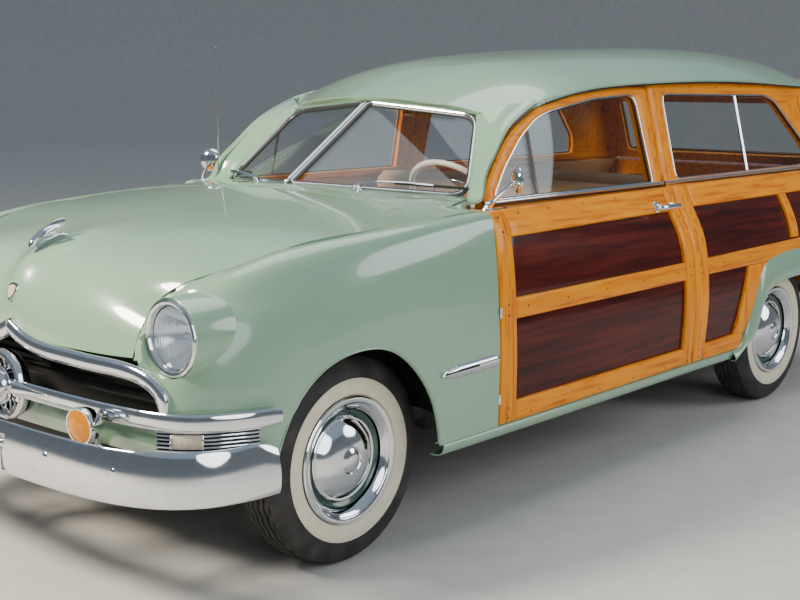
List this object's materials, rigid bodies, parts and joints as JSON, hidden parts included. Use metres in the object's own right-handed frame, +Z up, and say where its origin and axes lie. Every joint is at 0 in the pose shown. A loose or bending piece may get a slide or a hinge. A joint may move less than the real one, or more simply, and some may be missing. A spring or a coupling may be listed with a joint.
{
  "type": "station wagon",
  "caption": "Two-door wood-sided station wagon with opening doors, bonnet, liftgate and tailgate, steered front wheels and a hollow cabin with seats.",
  "frame": {"origin": "on the ground, midway between the bumper faces and the two sides", "axes": "+X forward, +Y the car's left side, +Z up"},
  "size_m": [5, 1.852, 1.656],
  "materials": {
    "black_steel": "satin black chassis paint",
    "cast_iron": "rough casting",
    "exhaust_steel": "dull pipe",
    "dark_steel": "dark underbody paint",
    "green_paint": "pale green gloss paint",
    "green_wheel_paint": "dark green gloss paint",
    "tyre_rubber": "black rubber with a cream band",
    "bright_metal": "polished plating",
    "lamp_glass": "amber moulded glass",
    "red_lens": "red moulded lens",
    "maple": "varnished light wood",
    "mahogany": "glossy dark red-brown boards",
    "clear_glass": "clear flat panes",
    "seat_cloth": "tan cloth",
    "dash_paint": "brown gloss paint",
    "ivory_plastic": "ivory plastic",
    "plate_steel": "blank painted plate"
  },
  "bodies": {
    "shell": {"chassis_frame": "black_steel", "front_suspension": "black_steel", "rear_axle": "black_steel", "leaf_springs": "black_steel", "driveshaft": "black_steel", "fuel_tank": "black_steel", "radiator": "black_steel", "engine_block": "cast_iron", "exhaust": "exhaust_steel", "body_tub": "dark_steel", "front_fenders": "green_paint", "rear_fenders": "green_paint", "front_apron": "green_paint", "roof": "green_paint", "windscreen_frame": "green_paint", "grille_surround": "bright_metal", "grille_bar": "bright_metal", "front_bumper": "bright_metal", "rear_bumper": "bright_metal", "headlamps": "bright_metal", "parking_lamps": "bright_metal", "fog_lamps": "lamp_glass", "tail_lamps": "red_lens", "body_frame": "maple", "side_boards": "mahogany", "fixed_glass": "clear_glass", "front_seat": "seat_cloth", "rear_seat": "seat_cloth", "dashboard": "dash_paint", "steering_column": "dash_paint", "number_plates": "plate_steel"},
    "wheel_front_left_body": {"tyre_front_left": "tyre_rubber", "wheel_front_left": "green_wheel_paint"},
    "wheel_front_right_body": {"tyre_front_right": "tyre_rubber", "wheel_front_right": "green_wheel_paint"},
    "wheel_rear_left_body": {"tyre_rear_left": "tyre_rubber", "wheel_rear_left": "green_wheel_paint"},
    "wheel_rear_right_body": {"tyre_rear_right": "tyre_rubber", "wheel_rear_right": "green_wheel_paint"},
    "knuckle_left_body": {"knuckle_left": "black_steel"},
    "knuckle_right_body": {"knuckle_right": "black_steel"},
    "steering_wheel_body": {"steering_wheel": "ivory_plastic"},
    "door_left": {"door_frame_left": "maple", "door_boards_left": "mahogany", "door_glass_left": "clear_glass"},
    "door_right": {"door_frame_right": "maple", "door_boards_right": "mahogany", "door_glass_right": "clear_glass"},
    "bonnet": {"hood": "green_paint", "hood_trim": "bright_metal"},
    "tailgate": {"tailgate_frame": "maple", "tailgate_boards": "mahogany"},
    "liftgate": {"liftgate_frame": "maple", "liftgate_glass": "clear_glass"}
  },
  "joints": [
    {"name": "wheel_front_left_spin", "type": "hinge", "parent": "knuckle_left_body", "child": "wheel_front_left_body", "pos_m": [1.662, 0.711, 0.338], "axis": [0, 1, 0], "continuous": true},
    {"name": "wheel_front_right_spin", "type": "hinge", "parent": "knuckle_right_body", "child": "wheel_front_right_body", "pos_m": [1.662, -0.711, 0.338], "axis": [0, 1, 0], "continuous": true},
    {"name": "wheel_rear_left_spin", "type": "hinge", "parent": "shell", "child": "wheel_rear_left_body", "pos_m": [-1.234, 0.711, 0.338], "axis": [0, 1, 0], "continuous": true},
    {"name": "wheel_rear_right_spin", "type": "hinge", "parent": "shell", "child": "wheel_rear_right_body", "pos_m": [-1.234, -0.711, 0.338], "axis": [0, 1, 0], "continuous": true},
    {"name": "steer_left", "type": "hinge", "parent": "shell", "child": "knuckle_left_body", "pos_m": [1.662, 0.6, 0.338], "axis": [0, 0, 1], "range_deg": [-30, 30]},
    {"name": "steer_right", "type": "hinge", "parent": "shell", "child": "knuckle_right_body", "pos_m": [1.662, -0.6, 0.338], "axis": [0, 0, 1], "range_deg": [-30, 30]},
    {"name": "steering_wheel_turn", "type": "hinge", "parent": "shell", "child": "steering_wheel_body", "pos_m": [0.621, 0.38, 1.043], "axis": [-0.766, 0, 0.6428], "range_deg": [-600, 600]},
    {"name": "door_left_hinge", "type": "hinge", "parent": "shell", "child": "door_left", "pos_m": [1.043, 0.905, 0.7], "axis": [0, 0, -1], "range_deg": [0, 65]},
    {"name": "door_right_hinge", "type": "hinge", "parent": "shell", "child": "door_right", "pos_m": [1.043, -0.905, 0.7], "axis": [0, 0, 1], "range_deg": [0, 65]},
    {"name": "bonnet_hinge", "type": "hinge", "parent": "shell", "child": "bonnet", "pos_m": [1.236, 0, 1.112], "axis": [0, -1, 0], "range_deg": [0, 50]},
    {"name": "liftgate_hinge", "type": "hinge", "parent": "shell", "child": "liftgate", "pos_m": [-1.8767, 0, 1.47], "axis": [0, 1, 0], "range_deg": [0, 75]},
    {"name": "tailgate_hinge", "type": "hinge", "parent": "shell", "child": "tailgate", "pos_m": [-2.2792, 0, 0.474], "axis": [0, -1, 0], "range_deg": [0, 90]}
  ],
  "couplings": [
    {"joint": "steer_right", "follows": "steer_left", "ratio": 1},
    {"joint": "steering_wheel_turn", "follows": "steer_left", "ratio": 18}
  ]
}
